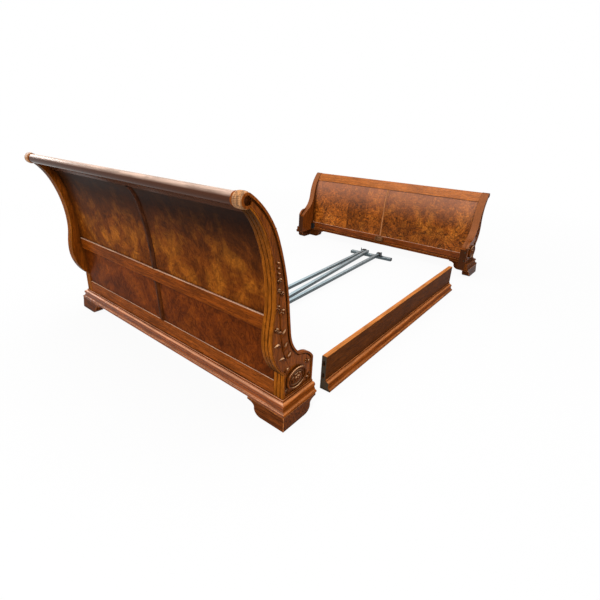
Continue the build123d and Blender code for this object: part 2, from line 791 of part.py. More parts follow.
def build_support():
    """Two long tubes on two cross tubes, held by clips, with a loose brace lying corner to corner."""
    frame = Plane((support_shift, foot_face + support_start, 0)).rotated((0, 0, support_turn))
    cross_rows = (cross_inset, tube_length - cross_inset)
    half_cross = cross_length / 2
    stud_across = tube_size / 2 + clip_clearance + clip_thickness + clip_flange / 2

    def along_plane(across, along, up):
        """Upright plane facing along the support: sketch x across, sketch y up, normal away from the headboard."""
        return Plane(frame.from_local_coords((across, along, up)), x_dir=frame.x_dir, z_dir=-frame.y_dir)

    def cross_plane(across, row):
        """Upright plane facing along a cross tube, which lies turned about its own middle."""
        middle = Plane(frame.from_local_coords((0, row, 0)), x_dir=frame.x_dir, z_dir=frame.z_dir)
        turned = middle.rotated((0, 0, cross_turn))
        return Plane(turned.from_local_coords((across, 0, 0)), x_dir=turned.y_dir, z_dir=turned.x_dir)

    def tube_section():
        """Rounded square tube standing on the sketch's x axis."""
        with BuildSketch() as section:
            with Locations((0, tube_size / 2)):
                RectangleRounded(tube_size, tube_size, tube_corner)
                Rectangle(tube_size - 2 * tube_wall, tube_size - 2 * tube_wall, mode=Mode.SUBTRACT)
        return section.sketch

    for side, hand in sides:
        with BuildPart() as tube:
            with BuildSketch(along_plane(hand * tube_spacing / 2, 0, cross_height)):
                add(tube_section())
            extrude(amount=-tube_length)
        save(tube, f"support_{side}_tube")

    brace_across = tube_spacing / 2 - tube_size - brace_gap
    brace_start = frame.from_local_coords((brace_across, cross_inset - cross_width / 2, cross_height))
    brace_end = frame.from_local_coords((-brace_across, tube_length - cross_inset + cross_width / 2, cross_height))
    brace_run = brace_end - brace_start
    with BuildPart() as brace:
        with BuildSketch(Plane(brace_start, x_dir=brace_run.cross(Vector(0, 0, 1)), z_dir=-brace_run)):
            add(tube_section())
        extrude(amount=-brace_run.length)
    save(brace, "support_brace")

    stud_places = [(hand * tube_spacing / 2 + hand * stud_across, row) for hand in (-1, 1) for row in cross_rows]
    for end, row in zip(("foot", "head"), cross_rows):
        with BuildPart() as cross_tube:
            with BuildSketch(cross_plane(-half_cross, row)):
                with Locations((0, cross_height / 2)):
                    RectangleRounded(cross_width, cross_height, tube_corner)
                    Rectangle(cross_width - 2 * tube_wall, cross_height - 2 * tube_wall, mode=Mode.SUBTRACT)
            extrude(amount=cross_length)
            with BuildSketch(frame.offset(cross_height)):
                with Locations(*stud_places):
                    Circle(stud_radius + stud_clearance)
            extrude(amount=-2 * tube_wall, mode=Mode.SUBTRACT)
        save(cross_tube, f"support_{end}_cross_tube")

    with BuildPart() as caps:
        for row in cross_rows:
            for hand in (-1, 1):
                with BuildSketch(cross_plane(hand * half_cross, row)):
                    with Locations((0, cross_height / 2)):
                        RectangleRounded(cross_width, cross_height, tube_corner)
                extrude(amount=hand * cap_thickness)
                with BuildSketch(cross_plane(hand * half_cross, row)):
                    with Locations((0, cross_height / 2)):
                        inside = 2 * (tube_wall + cap_clearance)
                        Rectangle(cross_width - inside, cross_height - inside)
                extrude(amount=-hand * cap_plug)
    save(caps, "support_end_caps")

    clip_inner = tube_size + 2 * clip_clearance
    clip_outer = clip_inner + 2 * clip_thickness
    with BuildPart() as clips:
        for hand in (-1, 1):
            for row in cross_rows:
                with BuildSketch(along_plane(hand * tube_spacing / 2, row - clip_length / 2, cross_height)):
                    Rectangle(
                        clip_outer, tube_size + clip_clearance + clip_thickness, align=(Align.CENTER, Align.MIN))
                    with Locations((hand * clip_outer / 2, 0)):
                        outer_end = Align.MIN if hand > 0 else Align.MAX
                        Rectangle(clip_flange, clip_thickness, align=(outer_end, Align.MIN))
                    Rectangle(
                        clip_inner, tube_size + clip_clearance, align=(Align.CENTER, Align.MIN), mode=Mode.SUBTRACT)
                extrude(amount=-clip_length)
        with BuildSketch(frame.offset(cross_height)):
            with Locations(*stud_places):
                Circle(stud_radius + stud_clearance)
        extrude(amount=2 * clip_thickness, mode=Mode.SUBTRACT)
    save(clips, "support_clips")

    with BuildPart() as studs:
        with BuildSketch(frame.offset(cross_height - 2 * tube_wall)):
            with Locations(*stud_places):
                Circle(stud_radius)
        extrude(amount=stud_length)
        with BuildSketch(frame.offset(cross_height + clip_thickness)):
            with Locations(*stud_places):
                RegularPolygon(nut_radius, 6)
        extrude(amount=nut_height)
    save(studs, "support_studs")


build_support()
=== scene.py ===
import json
from math import cos, pi, radians, sin

import bmesh
import bpy
from mathutils import Matrix, Vector
from mathutils.bvhtree import BVHTree

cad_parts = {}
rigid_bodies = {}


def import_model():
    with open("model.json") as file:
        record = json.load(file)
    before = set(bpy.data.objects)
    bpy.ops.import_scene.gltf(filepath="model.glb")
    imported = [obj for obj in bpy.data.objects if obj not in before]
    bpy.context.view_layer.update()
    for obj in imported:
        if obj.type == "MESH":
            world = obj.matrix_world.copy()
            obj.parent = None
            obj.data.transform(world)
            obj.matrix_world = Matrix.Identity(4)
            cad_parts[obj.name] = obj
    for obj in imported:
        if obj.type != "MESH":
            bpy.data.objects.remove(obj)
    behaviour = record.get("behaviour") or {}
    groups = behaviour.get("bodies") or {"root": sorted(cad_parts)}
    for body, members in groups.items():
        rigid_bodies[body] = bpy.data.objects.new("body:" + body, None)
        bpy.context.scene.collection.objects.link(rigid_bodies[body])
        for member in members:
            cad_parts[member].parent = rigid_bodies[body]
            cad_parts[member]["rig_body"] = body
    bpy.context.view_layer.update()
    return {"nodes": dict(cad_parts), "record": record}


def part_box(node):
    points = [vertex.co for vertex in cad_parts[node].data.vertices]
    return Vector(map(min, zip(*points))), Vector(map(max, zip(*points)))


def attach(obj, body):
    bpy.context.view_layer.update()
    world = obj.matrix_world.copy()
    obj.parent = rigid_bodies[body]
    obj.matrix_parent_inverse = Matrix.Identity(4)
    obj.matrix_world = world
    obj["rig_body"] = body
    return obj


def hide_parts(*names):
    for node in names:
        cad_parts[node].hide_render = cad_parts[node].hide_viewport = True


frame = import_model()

nodes = frame["nodes"]
scene = bpy.context.scene

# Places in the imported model, in metres
half_width = -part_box("headboard_right_post")[0].x
head_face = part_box("headboard_right_post")[0].y
foot_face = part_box("footboard_right_post")[1].y
field_depth = 0.005
block_top = 0.25
sides = (("right", -1), ("left", 1))

# Values that several materials share
ray_samples = 6
arris_radius = 0.0022
# Colour of the painted shade in recesses
recess_shade_colour = (0.014, 0.005, 0.0018)
# Colour of the painted highlight on a post's bed-side faces above the block
pale_lit_colour = (0.36, 0.132, 0.054)
# Colour of the painted shade on a post's bed-side faces below the block top
block_face_shade = (0.03, 0.011, 0.005)
cut_end = (0.06, 0.043, 0.027)


# Materials
class Shader:
    """The nodes of a material or a world, with short calls for adding nodes and joining them."""

    def __init__(self, owner, output="OutputMaterial"):
        owner.use_nodes = True
        self.owner = owner
        self.tree = owner.node_tree
        self.tree.nodes.clear()
        self.result = self.tree.nodes.new("ShaderNode" + output).inputs[0]

    def add(self, kind, *values, settings=None, **inputs):
        """A node with its settings. Its inputs, in order or by name, are values or other nodes' outputs."""
        node = self.tree.nodes.new("ShaderNode" + kind)
        for key, value in (settings or {}).items():
            setattr(node, key, value)
        for value, socket in zip(values, node.inputs):
            self.join(value, socket)
        for key, value in inputs.items():
            self.join(value, node.inputs[key.replace("_", " ")])
        return node.outputs[0]

    def join(self, value, socket):
        if isinstance(value, bpy.types.NodeSocket):
            self.tree.links.new(value, socket)
        else:
            socket.default_value = value

    def finish(self, surface):
        self.tree.links.new(surface, self.result)
        return self.owner

    def source(self, kind, output):
        return self.tree.nodes.new("ShaderNode" + kind).outputs[output]

    def math(self, operation, *values):
        return self.add("Math", *values, settings={"operation": operation})

    def measure(self, operation, *vectors):
        """A number taken from vectors."""
        return self.add("VectorMath", *vectors, settings={"operation": operation}).node.outputs["Value"]

    def fade(self, value, start=0.0, end=1.0, low=0.0, high=1.0, curve="LINEAR"):
        """A number that goes from low to high while the value goes from start to end."""
        return self.add("MapRange", value, start, end, low, high, settings={"interpolation_type": curve})

    def ramp(self, factor, *stops):
        """Colours along a factor, as (place, colour) stops."""
        node = self.tree.nodes.new("ShaderNodeValToRGB")
        self.tree.links.new(factor, node.inputs[0])
        elements = node.color_ramp.elements
        while len(elements) < len(stops):
            elements.new(0.5)
        for element, (place, colour) in zip(elements, stops):
            element.position = place
            element.color = (*colour, 1)
        return node.outputs[0]

    def mix(self, factor, first, second, blend="MIX"):
        """A mix of two colours, which are inputs 6 and 7 of its node."""
        node = self.tree.nodes.new("ShaderNodeMix")
        node.data_type = "RGBA"
        node.blend_type = blend
        self.join(factor, node.inputs[0])
        for value, socket in ((first, node.inputs[6]), (second, node.inputs[7])):
            self.join((*value, 1) if isinstance(value, tuple) else value, socket)
        return node.outputs[2]

    def toned(self, body, amount, factor, *stops):
        """A colour multiplied, by the given amount, with a ramp along a factor."""
        return self.mix(amount, body, self.ramp(factor, *stops), "MULTIPLY")

    def place(self, along=None, draw=1.0):
        """Object coordinates. A pattern in them is drawn out along an axis by a draw below 1."""
        coordinates = self.source("TexCoord", "Object")
        if not along:
            return coordinates
        scale = [1.0, 1.0, 1.0]
        scale["XYZ".index(along)] = draw
        return self.add("Mapping", Vector=coordinates, Scale=scale)

    def noise(self, vector, scale, detail, roughness, distortion=0.0):
        return self.add(
            "TexNoise", Vector=vector, Scale=scale, Detail=detail, Roughness=roughness, Distortion=distortion)

    def split(self, vector):
        """The three parts of a vector."""
        return self.add("SeparateXYZ", vector).node.outputs

    def facing(self):
        """The way a face looks, as its three parts."""
        return self.split(self.source("NewGeometry", "Normal"))


def tint(colour, amount):
    return tuple(min(1.0, channel * amount) for channel in colour)


def grey(value):
    return (value, value, value)


def eased(shader):
    """Normals rounded over at sharp edges, and a mask of those edges."""
    bevel = shader.add("Bevel", settings={"samples": ray_samples}, Radius=arris_radius)
    agreement = shader.measure("DOT_PRODUCT", bevel, shader.source("NewGeometry", "True Normal"))
    return bevel, shader.fade(agreement, 0.99, 0.8)


def recess_shaded(shader, body, reach, amount):
    """Painted shade: recesses narrower than the reach are darkened, standing in for the shadow in them."""
    shelter = shader.add("AmbientOcclusion", settings={"samples": ray_samples}, Distance=reach)
    open_part = shader.fade(shelter.node.outputs["AO"], 0.4, 0.92, 1 - amount)
    return shader.mix(open_part, recess_shade_colour, body)


def post_faces(shader, body, bed_side):
    """Bed-side faces of a post: a painted highlight makes them paler above the block, and painted shade makes
    them dark below it, where a rail's end closes.
    """
    pale_lit_amount, face_shade_amount, blend_height = 0.6, 0.8, 0.012
    toward = shader.math("MULTIPLY", shader.facing()[1], bed_side)
    above = shader.fade(shader.split(shader.place())[2], block_top, block_top + blend_height)
    # Painted highlight above the block
    pale_lit = shader.fade(toward, 0.3, 0.75, 0.0, pale_lit_amount)
    body = shader.mix(shader.math("MULTIPLY", pale_lit, above), body, pale_lit_colour)
    # Painted shade below the block top
    face_shaded = shader.fade(toward, 0.9, 0.97, 0.0, face_shade_amount)
    below = shader.math("SUBTRACT", 1.0, above)
    return shader.mix(shader.math("MULTIPLY", face_shaded, below), body, block_face_shade)


def wood(
        name, along, colour, roughness, gloss, spread=1.0, round_edges=False, recess_shade=0.75, reach=0.016,
        cap=None, level_from=0.5, bed_side=0, ends=None, back=None, under=None):
    """Lacquered solid wood, its grain running along one axis.

    A cap is a painted highlight that colours level tops paler, as if lit from above; under is painted shade
    on faces that look down under an overhang, and ends colours the cut ends. A back is a painted dark
    reflection on all but the faces that look along -Y, and those then have no cap. Recesses get painted
    shade, and eased edges are painted paler.
    """
    grain_draw, grain_scale, pore_scale, cloud_scale = 0.07, 95.0, 520.0, 5.0
    dark_grain, pale_grain = 0.38, 0.62
    grain_relief = {"Strength": 0.12, "Distance": 0.0004}
    shader = Shader(bpy.data.materials.new(name))
    drawn = shader.place(along, grain_draw)
    grain = shader.noise(drawn, grain_scale, 6.0, 0.6, 0.6)
    pores = shader.noise(drawn, pore_scale, 2.0, 0.5)
    cloud = shader.noise(shader.place(), cloud_scale, 3.0, 0.5, 0.4)
    low, high = 1 - 0.5 * spread, 1 + 0.5 * spread
    body = shader.ramp(
        grain, (dark_grain, tint(colour, low)), (0.5, colour), (pale_grain, tint(colour, high)))
    body = shader.toned(body, 0.55, cloud, (0.3, (0.62, 0.56, 0.5)), (0.7, (1.12, 1.12, 1.1)))
    body = shader.mix(shader.ramp(pores, (0.36, grey(1)), (0.44, grey(0))), body, tint(colour, 0.38))
    # Painted highlight: level tops take the paler cap colour
    if cap:
        level = shader.fade(shader.facing()[2], level_from, 0.9)
        # Painted dark reflection on all but the faces that look along -Y
        if back:
            behind = shader.fade(shader.facing()[1], -0.6, -0.35)
            body = shader.mix(behind, body, back)
            level = shader.math("MULTIPLY", level, behind)
        capped = shader.ramp(grain, (dark_grain, tint(cap, 0.7)), (pale_grain, tint(cap, 1.25)))
        body = shader.mix(level, body, capped)
    # Painted shade on faces that look down under an overhang
    if under:
        body = shader.mix(shader.fade(shader.facing()[2], -0.2, -0.65), body, under)
    if bed_side:
        body = post_faces(shader, body, bed_side)
    if ends:
        square = shader.math("ABSOLUTE", shader.facing()["XYZ".index(along)])
        body = shader.mix(shader.fade(square, 0.9, 0.97), body, ends)
    body = recess_shaded(shader, body, reach, recess_shade)
    if round_edges:
        grain_relief["Normal"], edge = eased(shader)
        # Eased edges painted paler: part wear, part painted highlight
        body = shader.mix(edge, body, tint(colour, 1.6))
    polish = shader.fade(cloud, low=roughness * 0.8, high=roughness * 1.25)
    relief = shader.add("Bump", Height=grain, **grain_relief)
    return shader.finish(shader.add(
        "BsdfPrincipled", Base_Color=body, Roughness=polish, Normal=relief, Specular_IOR_Level=gloss))


def burl(
        name, colour, glow, leaf_width, scale, contrast, roughness=0.3, gloss=0.012, shade=None, stretch=1.0):
    """Lacquered burl veneer in mirrored upright leaves of the given width.

    A shade is (start, end, amount, colour): the veneer goes over to that colour from one height to another,
    in full on faces that look along +Y and at a quarter elsewhere. It paints shade where its colour is darker
    and a sheen where it is paler.
    """
    leaf_shift, warp_scale, warp_amount, cloud_scale = 0.037, 7.0, 0.12, 6.5
    # Reach and strength of the painted shade in recesses
    recess_shade_reach, recess_shade_amount = 0.045, 0.8
    shader = Shader(bpy.data.materials.new(name))
    across, along, up = shader.split(shader.place())
    leaf = shader.math("FLOOR", shader.math("DIVIDE", across, leaf_width))
    place = shader.add(
        "CombineXYZ", shader.math("PINGPONG", across, leaf_width),
        shader.math("MULTIPLY_ADD", leaf, leaf_shift, along), shader.math("MULTIPLY", up, stretch))
    warp = shader.noise(place, warp_scale, 3.0, 0.5).node.outputs["Color"]
    warped = shader.mix(warp_amount, place, warp)
    figure = shader.noise(warped, scale, 5.0, 0.6, 1.6)
    mottle = shader.noise(warped, scale * 0.36, 4.0, 0.6, 1.2)
    fleck = shader.noise(warped, scale * 4.5, 3.0, 0.6, 0.6)
    eyes = shader.add("TexVoronoi", Vector=warped, Scale=scale * 1.2, Randomness=1.0)
    cloud = shader.noise(place, cloud_scale, 5.0, 0.6, 0.9)
    tone = shader.add("TexWhiteNoise", settings={"noise_dimensions": "1D"}, W=leaf)
    low, high = grey(1 - 0.7 * contrast), grey(1 + 0.55 * contrast)
    body = shader.ramp(cloud, (0.36, tint(colour, 0.7)), (0.48, colour), (0.64, glow))
    body = shader.toned(body, 1.0, figure, (0.4, low), (0.5, grey(1)), (0.6, high))
    body = shader.toned(body, 0.75, mottle, (0.38, low), (0.5, grey(1)), (0.62, high))
    body = shader.toned(body, 0.5, fleck, (0.35, (0.5, 0.45, 0.42)), (0.62, grey(1.2)))
    body = shader.toned(body, 0.5 * contrast, eyes, (0.08, (0.4, 0.35, 0.3)), (0.3, grey(1)))
    body = shader.toned(body, contrast, tone, (0.0, (0.62, 0.58, 0.55)), (1.0, (1.25, 1.22, 1.2)))
    if shade:
        start, end, amount, toward = shade
        reached = shader.fade(up, start, end, 0.0, amount, "SMOOTHSTEP")
        shown = shader.fade(shader.facing()[1], -0.1, 0.1, 0.25)
        body = shader.mix(shader.math("MULTIPLY", reached, shown), body, toward)
    body = recess_shaded(shader, body, recess_shade_reach, recess_shade_amount)
    polish = shader.fade(figure, low=roughness * 0.85, high=roughness * 1.2)
    relief = shader.add("Bump", Strength=0.06, Distance=0.0003, Height=fleck)
    return shader.finish(shader.add(
        "BsdfPrincipled", Base_Color=body, Roughness=polish, Normal=relief, Specular_IOR_Level=gloss))


def metal(name, colour, roughness, along, metallic, line_scale=300.0, upright=1.0, gloss=0.5):
    """Plated or painted steel: faint drawing lines along one axis, and painted shade that darkens upright
    faces by a share.
    """
    line_draw, cloud_scale = 0.02, 14.0
    shader = Shader(bpy.data.materials.new(name))
    lines = shader.noise(shader.place(along, line_draw), line_scale, 3.0, 0.6)
    cloud = shader.noise(shader.place(), cloud_scale, 4.0, 0.6)
    body = shader.ramp(lines, (0.3, tint(colour, 0.8)), (0.7, tint(colour, 1.12)))
    body = shader.toned(body, 0.4, cloud, (0.3, (0.75, 0.76, 0.78)), (0.7, grey(1.05)))
    # Painted shade on the upright faces
    level = shader.fade(shader.facing()[2], 0.3, 0.8)
    body = shader.mix(level, shader.mix(1.0, body, grey(upright), "MULTIPLY"), body)
    polish = shader.fade(cloud, low=roughness * 0.75, high=roughness * 1.3)
    return shader.finish(shader.add(
        "BsdfPrincipled", Base_Color=body, Roughness=polish, Metallic=metallic, Specular_IOR_Level=gloss))


# Each wood has its grain's axis, colour, roughness and gloss, then the spread of its grain
# A cap, where given, is a painted highlight on level tops
middle_rail_wood, bottom_rail_wood = (
    wood(name, "X", colour, 0.22, 0.012, 0.8, cap=(1.0, 0.54, 0.36))
    for name, colour in (
        ("lacquer_middle_rail", (0.215, 0.048, 0.0045)), ("lacquer_bottom_rail", (0.26, 0.063, 0.0085))))
foot_rail_wood = wood("lacquer_foot_rail", "X", (0.19, 0.042, 0.005), 0.22, 0.08, cap=(0.9, 0.46, 0.3))
moulding_across = wood(
    "moulding_across", "X", (0.25, 0.057, 0.0068), 0.16, 0.2, 0.7, cap=(0.8, 0.37, 0.2), level_from=0.54)
moulding_long = wood(
    "moulding_long", "Y", (0.26, 0.06, 0.006), 0.18, 0.004, 0.7, cap=(0.55, 0.19, 0.06), ends=cut_end)
# A darker copy of the moulding wood: painted shade on the footboard's end mouldings
shaded_foot_moulding = wood("shaded_foot_moulding", "Y", (0.14, 0.038, 0.007), 0.2, 0.005)
# The head crest: its back a painted dark reflection, the top of its roll a painted highlight
head_crest_wood = wood(
    "lacquer_head_crest", "X", (0.2, 0.05, 0.0065), 0.16, 0.06, 0.7, cap=(0.54, 0.375, 0.29), level_from=0.28,
    back=(0.06, 0.021, 0.01))
foot_crest_wood = wood("lacquer_foot_crest", "X", (0.45, 0.13, 0.022), 0.22, 0.2, 0.5)
rail_wood = wood(
    "lacquer_rail", "Y", (0.11, 0.029, 0.0045), 0.35, 0.005, 0.6, round_edges=True, cap=(0.5, 0.17, 0.042),
    ends=cut_end)
head_post_wood, foot_post_wood = (
    wood(name, "Z", colour, 0.24, 0.03, 0.7, round_edges=True, reach=0.03, bed_side=bed_side)
    for name, colour, bed_side in (
        ("lacquer_head_post", (0.24, 0.057, 0.005), -1), ("lacquer_foot_post", (0.19, 0.046, 0.006), 1)))
stile_wood = wood("lacquer_stile", "Z", (0.08, 0.02, 0.0035), 0.24, 0.015)
# A darker copy of the stile wood: painted shade under the crest
shaded_upper_stile_wood = wood("lacquer_upper_stile_shaded", "Z", (0.052, 0.015, 0.005), 0.24, 0.015)
# The reeds' under colour is painted shade under the post's overhang
reed_wood = wood(
    "lacquer_reed", "Z", (0.3, 0.084, 0.0065), 0.24, 0.012, 0.6, recess_shade=0.5, reach=0.008,
    under=(0.06, 0.022, 0.005))
foot_wood = wood("lacquer_foot", "X", (0.13, 0.031, 0.0045), 0.26, 0.02)
carved_wood = wood(
    "carved_oak", "Z", (0.15, 0.036, 0.0045), 0.18, 0.02, 0.8, cap=(0.98, 0.5, 0.26), level_from=0.6)
medallion_wood = wood("medallion_oak", "Z", (0.13, 0.031, 0.004), 0.18, 0.01, 0.8)
collar_wood = wood("carved_collar", "Z", (0.42, 0.2, 0.08), 0.4, 0.15)
# Pale edges: part wear, part painted highlight on the eased arrises
worn_and_lit_edge_wood = wood("worn_and_lit_edge", "X", (0.44, 0.14, 0.03), 0.2, 0.1, recess_shade=0.5)
bead_wood = wood("lacquer_bead", "Z", (0.5, 0.19, 0.06), 0.22, 0.3, 0.6, recess_shade=0.2)
plain_wood = wood("sawn_wood", "Y", (0.4, 0.25, 0.12), 0.6, 0.1)

# Each burl has its two colours, the width of its leaves, the scale of its figure and its contrast
# The upper panels' shade is a painted shadow, darker towards the crest
head_burl = burl(
    "head_burl", (0.18, 0.043, 0.004), (0.36, 0.108, 0.009), 0.4, 34.0, 0.4,
    shade=(0.58, 0.94, 0.93, (0.013, 0.006, 0.004)), stretch=0.7)
low_burl = burl("low_burl", (0.155, 0.031, 0.003), (0.22, 0.048, 0.004), 0.4, 34.0, 0.4, stretch=0.7)
# The foot panels' shade is a painted sheen, paler towards the top
foot_burl = burl(
    "foot_burl", (0.3, 0.078, 0.008), (0.47, 0.148, 0.018), 0.197, 92.0, 0.95, roughness=0.28, gloss=0.12,
    shade=(0.32, 0.6, 0.5, (0.46, 0.205, 0.128)))

# Each metal has its colour, roughness, the axis of its lines and how metallic it is
zinc = metal("zinc_plate", (0.45, 0.57, 0.61), 0.4, "Y", 0.6, upright=0.2)
socket_zinc = metal("socket_plate", (0.24, 0.1, 0.035), 0.4, "X", 0.4)
plate_steel = metal("plate_steel", (0.052, 0.04, 0.027), 0.4, "Z", 0.0, gloss=0.05)
black_steel = metal("black_steel", (0.011, 0.01, 0.009), 0.45, "Z", 0.0)
black_plastic = metal("black_plastic", (0.012, 0.012, 0.013), 0.5, "Z", 0.0, line_scale=120.0)


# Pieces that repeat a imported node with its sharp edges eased
def link(piece, body, slot, *materials):
    scene.collection.objects.link(piece)
    for material in materials:
        piece.data.materials.append(material)
    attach(piece, body)
    return piece


def soften(name, width, material, edge=None, segments=2):
    """A copy of a node with its arrises rounded over, standing for the node."""
    same_point, flat_angle, sharp_angle = 2e-6, radians(0.6), radians(28.0)
    source = nodes[name]
    work = bmesh.new()
    work.from_mesh(source.data)
    bmesh.ops.remove_doubles(work, verts=work.verts, dist=same_point)
    bmesh.ops.dissolve_limit(work, angle_limit=flat_angle, verts=work.verts, edges=work.edges)
    for face in work.faces:
        face.smooth = True
        face.material_index = 0
    mesh = bpy.data.meshes.new(name + ".eased")
    work.to_mesh(mesh)
    work.free()
    for layer in [a.name for a in mesh.attributes if "normal" in a.name]:
        mesh.attributes.remove(mesh.attributes[layer])
    piece = bpy.data.objects.new(name + ".eased", mesh)
    slot = next(part["material_slot"] for part in frame["record"]["subparts"] if part["node"] == name)
    link(piece, source["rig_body"], slot, material, *([edge] if edge else []))
    ease = piece.modifiers.new("ease", "BEVEL")
    ease.width = width
    ease.segments = segments
    ease.limit_method = "ANGLE"
    ease.angle_limit = sharp_angle
    ease.use_clamp_overlap = False
    ease.harden_normals = True
    ease.material = 1 if edge else -1
    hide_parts(name)


# Each eased node has the width of its easing, its finish and, where they differ, the finish of its edges,
# which are paler, part wear and part painted highlight
for board, return_wood, bracket_wood in (
        ("headboard", moulding_long, foot_wood), ("footboard", shaded_foot_moulding, stile_wood)):
    for side, _ in sides:
        soften(f"{board}_{side}_reeding", 0.0036, reed_wood, segments=4)
        soften(f"{board}_{side}_moulding", 0.0012, return_wood)
        soften(f"{board}_{side}_bracket_foot", 0.002, bracket_wood, worn_and_lit_edge_wood)
    soften(f"{board}_back_moulding", 0.0014, moulding_across)
    soften(f"{board}_plinth_board", 0.0016, foot_wood, worn_and_lit_edge_wood)
    soften(f"{board}_medallions", 0.002, medallion_wood)
soften("footboard_stile", 0.0014, foot_burl)
soften("headboard_upper_stile", 0.0014, shaded_upper_stile_wood)
soften("headboard_lower_stile", 0.0014, stile_wood)
soften("headboard_middle_rail", 0.004, middle_rail_wood)
soften("headboard_bottom_rail", 0.003, bottom_rail_wood)
soften("footboard_bottom_rail", 0.005, foot_rail_wood)
soften("headboard_crest", 0.0016, head_crest_wood)
soften("footboard_crest", 0.0016, foot_crest_wood, worn_and_lit_edge_wood)
for side, _ in sides:
    soften(f"{side}_rail_moulding", 0.0012, moulding_long)
    soften(f"{side}_rail_ledger", 0.002, plain_wood)

# The finish of the nodes that show as they are, by how their names start and end
for start, ending, material in (
        ("headboard_upper", "panel", head_burl), ("headboard_lower", "panel", low_burl),
        ("footboard", "panel", foot_burl), ("headboard", "post", head_post_wood),
        ("footboard", "post", foot_post_wood), ("", "rail_board", rail_wood), ("", "rail_bolts", plate_steel),
        ("", "corner_brackets", black_steel), ("", "support_socket", socket_zinc),
        ("", "rail_end_plates", plate_steel), ("", "end_caps", black_plastic),
        ("", "support_clips", black_steel), ("", "tube", zinc), ("", "brace", zinc), ("", "studs", zinc)):
    for name, piece in nodes.items():
        if name.startswith(start) and name.endswith(ending):
            piece.data.materials.clear()
            piece.data.materials.append(material)


# Carving
half_turn = [pi * n / 8 for n in range(9)]


class Relief:
    """Carved ornament on one surface, gathered into one mesh. Its points are (along, up, proud)."""

    sunk = 0.0008  # how deep beads and cords are set into the surface

    def __init__(self, to_world, outward):
        self.mesh = bmesh.new()
        self.to_world = to_world
        self.outward = outward

    def sheet(self, rows, wrap=False):
        """A smooth sheet through rows of points, turned to face outwards."""
        grid = [[self.mesh.verts.new(self.to_world(*point)) for point in row] for row in rows]
        made = []
        for first, second in zip(grid, grid[1:]):
            count = len(first)
            for i in range(count if wrap else count - 1):
                j = (i + 1) % count
                made.append(self.mesh.faces.new((first[i], first[j], second[j], second[i])))
        total = Vector()
        for face in made:
            face.smooth = True
            face.normal_update()
            total += face.normal * face.calc_area()
        if total.dot(self.outward) < 0:
            bmesh.ops.reverse_faces(self.mesh, faces=made)

    def leaf(self, base, tip, width, height, bend, floor=0.0):
        """A pointed leaf with a hollow down its middle."""
        steps, half_steps, sunk_edge = 9, 4, 0.001
        start, run = Vector(base), Vector(tip) - Vector(base)
        side = Vector((-run.y, run.x)).normalized()
        rows = []
        for i in range(steps + 1):
            t = i / steps
            middle = start + run * t + side * (bend * run.length * 4 * t * (1 - t))
            half = width / 2 * max(0.05, sin(pi * t**0.72))
            lift = height * max(0.05, sin(pi * (0.1 + 0.85 * t))) ** 0.7
            row = []
            for j in range(-half_steps, half_steps + 1):
                a = j / half_steps
                rise = lift * ((1 - a * a) ** 0.6 - 0.5 * max(0.0, 1 - 2.6 * abs(a)))
                point = middle + side * (half * a)
                row.append((point.x, point.y, floor + (rise if abs(j) < half_steps else -sunk_edge)))
            rows.append(row)
        self.sheet(rows)

    def dome(self, centre, radius, height, floor=0.0):
        """A rounded bead, open in a small hole at its top."""
        steps, turns = 5, 14
        rows = []
        for k in range(steps):
            lean = 0.5 * pi * k / (steps - 0.7)
            rows.append([
                (centre[0] + radius * cos(lean) * cos(turn), centre[1] + radius * cos(lean) * sin(turn),
                 floor - self.sunk + height * sin(lean))
                for turn in (2 * pi * n / turns for n in range(turns))])
        self.sheet(rows, True)

    def stem(self, points, radius, height, floor=0.0, closed=False):
        """A rounded cord along points; its ends taper unless it is closed."""
        count = len(points)
        rows = []
        for i, point in enumerate(points):
            before = points[i - 1] if i or closed else point
            after = points[(i + 1) % count] if i < count - 1 or closed else point
            run = Vector(after) - Vector(before)
            side = Vector((-run.y, run.x)).normalized()
            size = 1.0 if closed else max(0.3, min(1.0, 4 * i / count, 4 * (count - 1 - i) / count))
            rows.append([
                (point[0] + side.x * radius * size * cos(turn), point[1] + side.y * radius * size * cos(turn),
                 floor - self.sunk + height * size * sin(turn))
                for turn in half_turn])
        if closed:
            rows.append(rows[0])
        self.sheet(rows)

    def flower(self, centre, radius, petals, height, floor=0.0, squash=1.0):
        """Petals round a bead, squashed upwards by a share."""
        for n in range(petals):
            turn = 2 * pi * (n + 0.25) / petals
            reach = Vector((cos(turn), sin(turn) * squash))
            start = Vector(centre) + reach * radius * 0.2
            width = 2.1 * radius * sin(pi / petals)
            self.leaf(start, Vector(centre) + reach * radius, width, height, 0.0, floor)
        self.dome(centre, 0.3 * radius, height * 1.15, floor)

    def finish(self, name, body, slot, material):
        mesh = bpy.data.meshes.new(name)
        self.mesh.to_mesh(mesh)
        self.mesh.free()
        return link(bpy.data.objects.new(name, mesh), body, slot, material)


def smooth_line(points, steps):
    """Points along a curve that passes through the given points."""
    line = []
    ends = [points[0], *points, points[-1]]
    for a, b, c, d in zip(ends, ends[1:], ends[2:], ends[3:]):
        a, b, c, d = Vector(a), Vector(b), Vector(c), Vector(d)
        for n in range(steps):
            t = n / steps
            line.append(0.5 * (2 * b + (c - a) * t + (2 * a - 5 * b + 4 * c - d) * t**2
                               + (3 * b - a - 3 * c + d) * t**3))
    line.append(Vector(points[-1]))
    return line


def end_face(board, hand):
    """A post's sunk end face: out from the block's bed side, up from the floor, and proud of the field."""
    face, turn = (head_face, 1) if board == "headboard" else (foot_face, -1)
    return Relief(
        lambda out, up, proud: Vector((hand * (half_width - field_depth + proud), face + turn * out, up)),
        Vector((hand, 0, 0)))


def oval(centre, half_along, half_up):
    count = 60
    turns = (2 * pi * n / count for n in range(count))
    return [(centre[0] + half_along * cos(turn), centre[1] + half_up * sin(turn)) for turn in turns]


